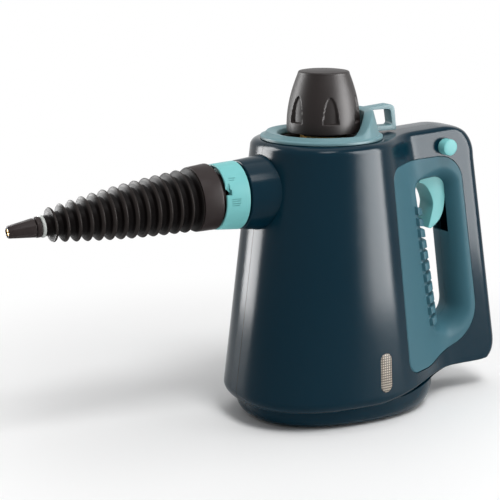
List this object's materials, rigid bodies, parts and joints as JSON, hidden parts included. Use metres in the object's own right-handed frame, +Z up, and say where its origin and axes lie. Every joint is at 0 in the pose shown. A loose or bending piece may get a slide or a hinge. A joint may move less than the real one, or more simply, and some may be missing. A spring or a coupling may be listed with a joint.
{
  "type": "handheld steam cleaner",
  "caption": "Handheld steam cleaner with a screw-down safety cap in a dish, a through-handle with a squeeze trigger, and a drooping bellows nozzle.",
  "frame": {"origin": "floor level under the middle of the length and width", "axes": "+X from the nozzle towards the handle, +Y across towards the right side as seen from behind the handle, +Z up"},
  "size_m": [0.394, 0.123, 0.2542],
  "materials": {
    "petrol_plastic": "glossy moulded plastic",
    "teal_plastic": "satin moulded plastic",
    "grey_teal_plastic": "satin moulded plastic",
    "aqua_plastic": "semi-gloss moulded plastic",
    "black_plastic": "satin moulded plastic",
    "charcoal_plastic": "soft satin plastic",
    "pale_plastic": "satin plastic",
    "beige_lens": "cloudy translucent plastic",
    "lamp_glass": "clear tinted plastic",
    "inner_plastic": "plain moulded plastic",
    "rubber": "matt rubber",
    "brass": "turned brass",
    "steel": "stainless steel",
    "cast_alloy": "die-cast alloy",
    "felt": "needled felt",
    "ceramic": "unglazed ceramic",
    "silicone": "silicone hose"
  },
  "bodies": {
    "body": {"left_shell": "petrol_plastic", "right_shell": "petrol_plastic", "base_plate": "inner_plastic", "boiler": "steel", "boiler_bracket": "steel", "case_screw_1": "steel", "case_screw_2": "steel", "case_screw_3": "steel", "case_screw_4": "steel", "case_screw_5": "steel", "cord_gland": "rubber", "filler_neck": "brass", "grip_frame_left": "teal_plastic", "grip_frame_right": "teal_plastic", "heating_element": "cast_alloy", "indicator_lamp": "lamp_glass", "indicator_lens": "beige_lens", "insulation_sleeve": "felt", "locking_collar": "aqua_plastic", "neck_well": "black_plastic", "nozzle_socket": "petrol_plastic", "rubber_foot_1": "rubber", "rubber_foot_2": "rubber", "rubber_foot_3": "rubber", "rubber_foot_4": "rubber", "steam_tube_in": "silicone", "steam_tube_out": "silicone", "steam_valve": "brass", "terminal_block": "ceramic", "thermal_fuse": "ceramic", "thermostat": "inner_plastic", "top_dish": "grey_teal_plastic", "trigger_pin": "steel", "trigger_spring": "steel"},
    "cap_lift": {"cap_gasket": "rubber"},
    "cap": {"safety_cap": "charcoal_plastic", "cap_stem": "inner_plastic"},
    "trigger": {"trigger": "aqua_plastic"},
    "valve_rod": {"valve_rod": "steel"},
    "lock_button": {"lock_button": "aqua_plastic"},
    "accessory": {"nozzle_cup": "black_plastic", "bellows": "black_plastic", "lance_tube": "steel", "end_washer": "pale_plastic", "tip_nut": "black_plastic", "tip": "black_plastic", "brass_jet": "brass", "seal_ring": "rubber"}
  },
  "joints": [
    {"name": "cap_rise", "type": "slide", "parent": "body", "child": "cap_lift", "axis": [0, 0, 1], "range_m": [0, 0.0091]},
    {"name": "cap_turn", "type": "hinge", "parent": "cap_lift", "child": "cap", "pos_m": [0.04564, 0, 0.2095], "axis": [0, 0, 1], "range_deg": [0, 1080]},
    {"name": "trigger_pull", "type": "hinge", "parent": "body", "child": "trigger", "pos_m": [0.14563, 0, 0.1765], "axis": [0, -1, 0], "range_deg": [0, 9], "stiffness_Nm_per_rad": 0.3},
    {"name": "rod_push", "type": "slide", "parent": "body", "child": "valve_rod", "axis": [-1, 0, 0], "range_m": [0, 0.0013]},
    {"name": "lock_slide", "type": "slide", "parent": "body", "child": "lock_button", "axis": [0, 1, 0], "range_m": [0, 0.007]},
    {"name": "nozzle_twist", "type": "hinge", "parent": "body", "child": "accessory", "pos_m": [-0.04267, 0, 0.1687], "axis": [-0.9971, 0, -0.0767], "range_deg": [0, 45]}
  ],
  "couplings": [
    {"joint": "cap_rise", "follows": "cap_turn", "m_per_rad": 0.00047746},
    {"joint": "rod_push", "follows": "trigger_pull", "m_per_rad": 0.0077}
  ]
}
